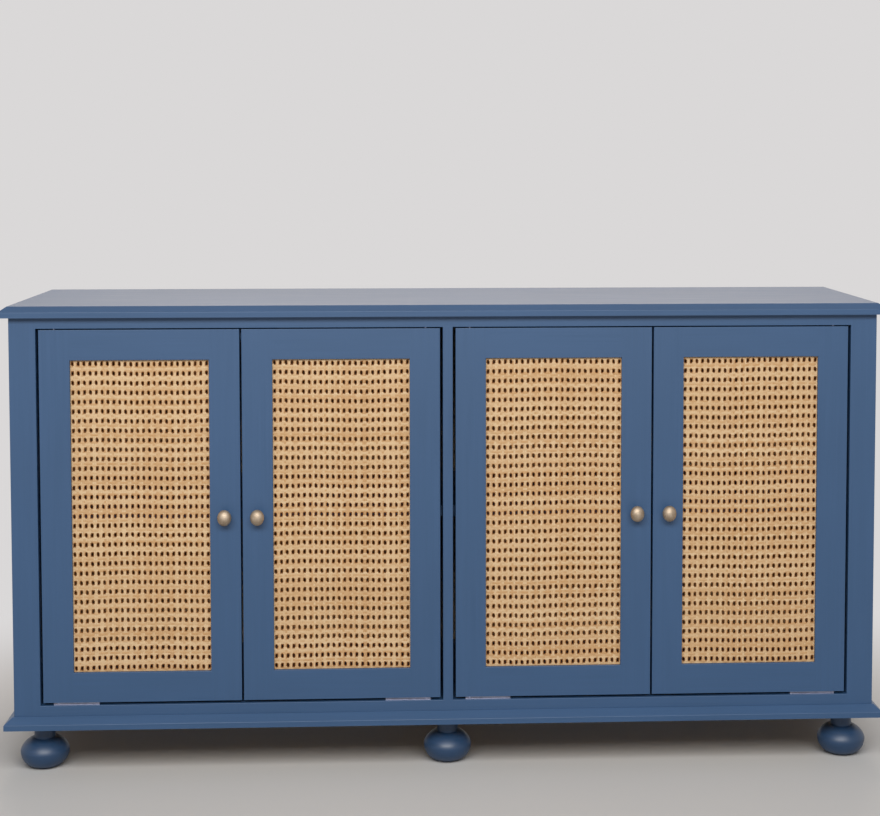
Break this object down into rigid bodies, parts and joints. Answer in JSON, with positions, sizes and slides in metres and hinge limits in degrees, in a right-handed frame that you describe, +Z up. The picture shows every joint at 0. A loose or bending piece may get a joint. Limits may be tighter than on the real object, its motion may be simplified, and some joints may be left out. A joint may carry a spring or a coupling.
{
  "type": "record cabinet",
  "caption": "Low free-standing record cabinet on bun feet: painted carcass with a bevelled top, and inset cane-webbed doors on knife hinges in front of shelved bays.",
  "frame": {"origin": "centre of the bounding box's base, on the floor", "axes": "+Z up, +X to the right seen from the front, -Y out of the doors"},
  "size_m": [1.6, 0.4325, 0.85],
  "materials": {
    "blue_painted_wood": "satin blue paint on wood",
    "birch_plywood": "clear oiled birch plywood",
    "pine": "planed pine, bare",
    "cane": "natural woven cane, bare",
    "antique_brass": "satin antique brass",
    "nickel_steel": "nickel-plated steel",
    "zinc_steel": "bright zinc-plated steel"
  },
  "bodies": {
    "carcass": {"top_board": "blue_painted_wood", "side_panel_left": "blue_painted_wood", "side_panel_right": "blue_painted_wood", "bottom_board": "blue_painted_wood", "centre_partition": "blue_painted_wood", "back_panel": "birch_plywood", "face_stile_left": "blue_painted_wood", "face_stile_right": "blue_painted_wood", "face_stile_centre": "blue_painted_wood", "face_rail_top": "blue_painted_wood", "face_rail_bottom": "blue_painted_wood", "shelf_left": "blue_painted_wood", "shelf_right": "blue_painted_wood", "shelf_pins": "zinc_steel", "base_bearers": "pine", "base_moulding_front": "blue_painted_wood", "base_moulding_left": "blue_painted_wood", "base_moulding_right": "blue_painted_wood", "foot_front_left": "blue_painted_wood", "foot_front_centre": "blue_painted_wood", "foot_front_right": "blue_painted_wood", "foot_rear_left": "blue_painted_wood", "foot_rear_centre": "blue_painted_wood", "foot_rear_right": "blue_painted_wood", "foot_bolts": "zinc_steel", "hinge_plates": "nickel_steel", "door_catches": "blue_painted_wood", "carcass_screws": "zinc_steel"},
    "door_1": {"door_1_stile_hinge": "blue_painted_wood", "door_1_stile_lock": "blue_painted_wood", "door_1_rail_top": "blue_painted_wood", "door_1_rail_bottom": "blue_painted_wood", "door_1_cane": "cane", "door_1_beads": "blue_painted_wood", "door_1_knob": "antique_brass", "door_1_fittings": "nickel_steel"},
    "door_2": {"door_2_stile_hinge": "blue_painted_wood", "door_2_stile_lock": "blue_painted_wood", "door_2_rail_top": "blue_painted_wood", "door_2_rail_bottom": "blue_painted_wood", "door_2_cane": "cane", "door_2_beads": "blue_painted_wood", "door_2_knob": "antique_brass", "door_2_fittings": "nickel_steel"},
    "door_3": {"door_3_stile_hinge": "blue_painted_wood", "door_3_stile_lock": "blue_painted_wood", "door_3_rail_top": "blue_painted_wood", "door_3_rail_bottom": "blue_painted_wood", "door_3_cane": "cane", "door_3_beads": "blue_painted_wood", "door_3_knob": "antique_brass", "door_3_fittings": "nickel_steel"},
    "door_4": {"door_4_stile_hinge": "blue_painted_wood", "door_4_stile_lock": "blue_painted_wood", "door_4_rail_top": "blue_painted_wood", "door_4_rail_bottom": "blue_painted_wood", "door_4_cane": "cane", "door_4_beads": "blue_painted_wood", "door_4_knob": "antique_brass", "door_4_fittings": "nickel_steel"}
  },
  "joints": [
    {"name": "door_1_hinge", "type": "hinge", "parent": "carcass", "child": "door_1", "pos_m": [-0.7055, -0.17775, 0.469], "axis": [0, 0, -1], "range_deg": [0, 110]},
    {"name": "door_2_hinge", "type": "hinge", "parent": "carcass", "child": "door_2", "pos_m": [-0.04, -0.17775, 0.469], "axis": [0, 0, 1], "range_deg": [0, 90]},
    {"name": "door_3_hinge", "type": "hinge", "parent": "carcass", "child": "door_3", "pos_m": [0.04, -0.17775, 0.469], "axis": [0, 0, -1], "range_deg": [0, 90]},
    {"name": "door_4_hinge", "type": "hinge", "parent": "carcass", "child": "door_4", "pos_m": [0.7055, -0.17775, 0.469], "axis": [0, 0, 1], "range_deg": [0, 110]}
  ]
}
